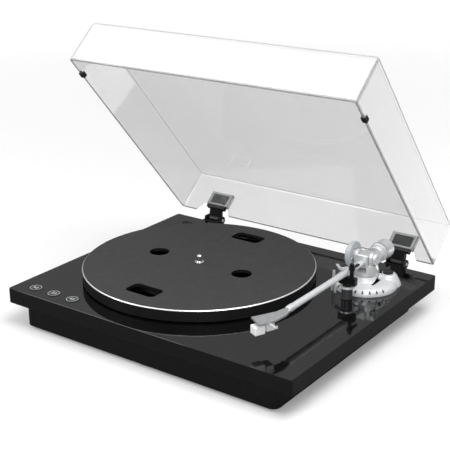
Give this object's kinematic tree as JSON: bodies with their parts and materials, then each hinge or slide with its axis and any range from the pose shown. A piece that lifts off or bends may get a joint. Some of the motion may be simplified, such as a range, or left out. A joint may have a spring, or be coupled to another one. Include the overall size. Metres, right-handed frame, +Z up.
{
  "type": "usb turntable",
  "caption": "Belt-drive record player with a straight tonearm, gloss black plinth and clear hinged dust cover, shown open.",
  "frame": {"origin": "centre of the bounding box at floor level, with the cover standing open as in the picture", "axes": "+X to the right across the front, the tonearm's side; +Y to the rear, the hinges' side; +Z up"},
  "size_m": [0.42, 0.3946, 0.358],
  "materials": {
    "gloss_black_lacquer": "black high-gloss lacquer on board",
    "black_plastic": "satin moulded plastic",
    "matte_black_enamel": "matte dark enamel on cast aluminium, rim edge bright",
    "black_rubber": "matte",
    "silver_satin_metal": "satin silver",
    "chromed_steel": "polished",
    "plain_steel": "turned",
    "brass": "turned",
    "white_plastic": "moulded",
    "silver_grey_plastic": "silver-grey moulded plastic",
    "green_circuit_board": "solder mask",
    "smoked_clear_acrylic": "clear, lightly tinted grey"
  },
  "bodies": {
    "deck_body": {"top_plinth": "gloss_black_lacquer", "base_box": "black_plastic", "bottom_cover": "black_plastic", "foot_front_left": "black_rubber", "foot_front_right": "black_rubber", "foot_rear_left": "black_rubber", "foot_rear_right": "black_rubber", "motor": "plain_steel", "bearing_housing": "brass", "circuit_board": "green_circuit_board", "rca_socket_left": "chromed_steel", "rca_socket_right": "chromed_steel", "usb_socket": "plain_steel", "dc_socket": "black_plastic", "drive_belt": "black_rubber", "tonearm_base": "silver_satin_metal", "tonearm_base_nut": "plain_steel", "lift_cylinder": "chromed_steel", "lift_guide": "chromed_steel", "arm_rest_post": "plain_steel", "arm_rest_cradle": "black_plastic", "hinge_bracket_left": "black_plastic", "hinge_bracket_right": "black_plastic", "hinge_pin_left": "plain_steel", "hinge_pin_right": "plain_steel"},
    "platter_body": {"platter": "matte_black_enamel", "spindle": "chromed_steel"},
    "pulley_body": {"motor_pulley": "brass"},
    "start_stop_body": {"start_stop_button": "black_plastic"},
    "speed_33_body": {"speed_33_button": "black_plastic"},
    "speed_45_body": {"speed_45_button": "black_plastic"},
    "line_switch_body": {"phono_line_switch": "black_plastic"},
    "ground_body": {"ground_terminal": "chromed_steel"},
    "anti_skate_body": {"anti_skate_knob": "black_plastic"},
    "cue_body": {"cue_lever": "black_plastic"},
    "lift_body": {"lift_platform": "silver_grey_plastic"},
    "clip_body": {"arm_rest_clip": "black_plastic"},
    "turret_body": {"arm_turret": "chromed_steel", "yaw_shaft": "plain_steel", "pivot_screw_left": "plain_steel", "pivot_screw_right": "plain_steel", "bearing_disc_left": "silver_grey_plastic", "bearing_cap_right": "chromed_steel"},
    "arm_body": {"pivot_block": "chromed_steel", "arm_tube": "silver_satin_metal", "headshell": "silver_satin_metal", "finger_lift": "silver_satin_metal", "cartridge": "silver_grey_plastic", "stylus_assembly": "white_plastic", "counterweight_shaft": "plain_steel"},
    "collar_body": {"headshell_collar": "chromed_steel"},
    "counterweight_body": {"counterweight": "plain_steel"},
    "dial_body": {"force_dial": "silver_satin_metal"},
    "cover_body": {"dust_cover": "smoked_clear_acrylic", "hinge_pocket_left": "smoked_clear_acrylic", "hinge_pocket_right": "smoked_clear_acrylic", "hinge_leaf_left": "black_plastic", "hinge_leaf_right": "black_plastic", "lid_bumper_left": "black_rubber", "lid_bumper_right": "black_rubber"}
  },
  "joints": [
    {"name": "platter_spin", "type": "hinge", "parent": "deck_body", "child": "platter_body", "pos_m": [-0.041, -0.02332, 0.0495], "axis": [0, 0, -1], "continuous": true},
    {"name": "pulley_spin", "type": "hinge", "parent": "deck_body", "child": "pulley_body", "pos_m": [-0.138, 0.03268, 0.0495], "axis": [0, 0, -1], "continuous": true},
    {"name": "start_stop_press", "type": "slide", "parent": "deck_body", "child": "start_stop_body", "axis": [0, 0, -1], "range_m": [0, 0.0012], "stiffness_N_per_m": 500, "springref_m": -0.001},
    {"name": "speed_33_press", "type": "slide", "parent": "deck_body", "child": "speed_33_body", "axis": [0, 0, -1], "range_m": [0, 0.0012], "stiffness_N_per_m": 500, "springref_m": -0.001},
    {"name": "speed_45_press", "type": "slide", "parent": "deck_body", "child": "speed_45_body", "axis": [0, 0, -1], "range_m": [0, 0.0012], "stiffness_N_per_m": 500, "springref_m": -0.001},
    {"name": "line_switch_slide", "type": "slide", "parent": "deck_body", "child": "line_switch_body", "axis": [1, 0, 0], "range_m": [0, 0.004]},
    {"name": "ground_turn", "type": "hinge", "parent": "deck_body", "child": "ground_body", "pos_m": [0.102, 0.12718, 0.0185], "axis": [0, 1, 0], "range_deg": [-180, 180]},
    {"name": "anti_skate_turn", "type": "hinge", "parent": "deck_body", "child": "anti_skate_body", "pos_m": [0.172, 0.08718, 0.0645], "axis": [0, 0, 1], "range_deg": [-120, 120]},
    {"name": "cue_lever_turn", "type": "hinge", "parent": "deck_body", "child": "cue_body", "pos_m": [0.15, 0.06788, 0.0632], "axis": [1, 0, 0], "range_deg": [0, 60]},
    {"name": "lift_slide", "type": "slide", "parent": "deck_body", "child": "lift_body", "axis": [0, 0, 1], "range_m": [-0.006, 0]},
    {"name": "clip_turn", "type": "hinge", "parent": "deck_body", "child": "clip_body", "pos_m": [0.1578, 0.01868, 0.0881], "axis": [0, 0, 1], "range_deg": [0, 90]},
    {"name": "arm_yaw", "type": "hinge", "parent": "deck_body", "child": "turret_body", "pos_m": [0.15, 0.06817, 0.0495], "axis": [0, 0, -1], "range_deg": [0, 48]},
    {"name": "arm_pitch", "type": "hinge", "parent": "turret_body", "child": "arm_body", "pos_m": [0.15, 0.06817, 0.0875], "axis": [-1, 0, 0], "range_deg": [0, 5]},
    {"name": "collar_turn", "type": "hinge", "parent": "arm_body", "child": "collar_body", "pos_m": [0.15, -0.1, 0.0825], "axis": [0, 1, 0], "range_deg": [0, 30]},
    {"name": "counterweight_slide", "type": "slide", "parent": "arm_body", "child": "counterweight_body", "axis": [0, 1, 0], "range_m": [-0.003, 0.003]},
    {"name": "force_dial_turn", "type": "hinge", "parent": "counterweight_body", "child": "dial_body", "pos_m": [0.15, 0.094, 0.0825], "axis": [0, 1, 0], "continuous": true},
    {"name": "cover_hinge", "type": "hinge", "parent": "deck_body", "child": "cover_body", "pos_m": [0, 0.15968, 0.0495], "axis": [-1, 0, 0], "range_deg": [-49, 16]}
  ],
  "couplings": [
    {"joint": "pulley_spin", "follows": "platter_spin", "ratio": 15.333},
    {"joint": "cue_lever_turn", "follows": "lift_slide", "rad_per_m": -174.53}
  ]
}
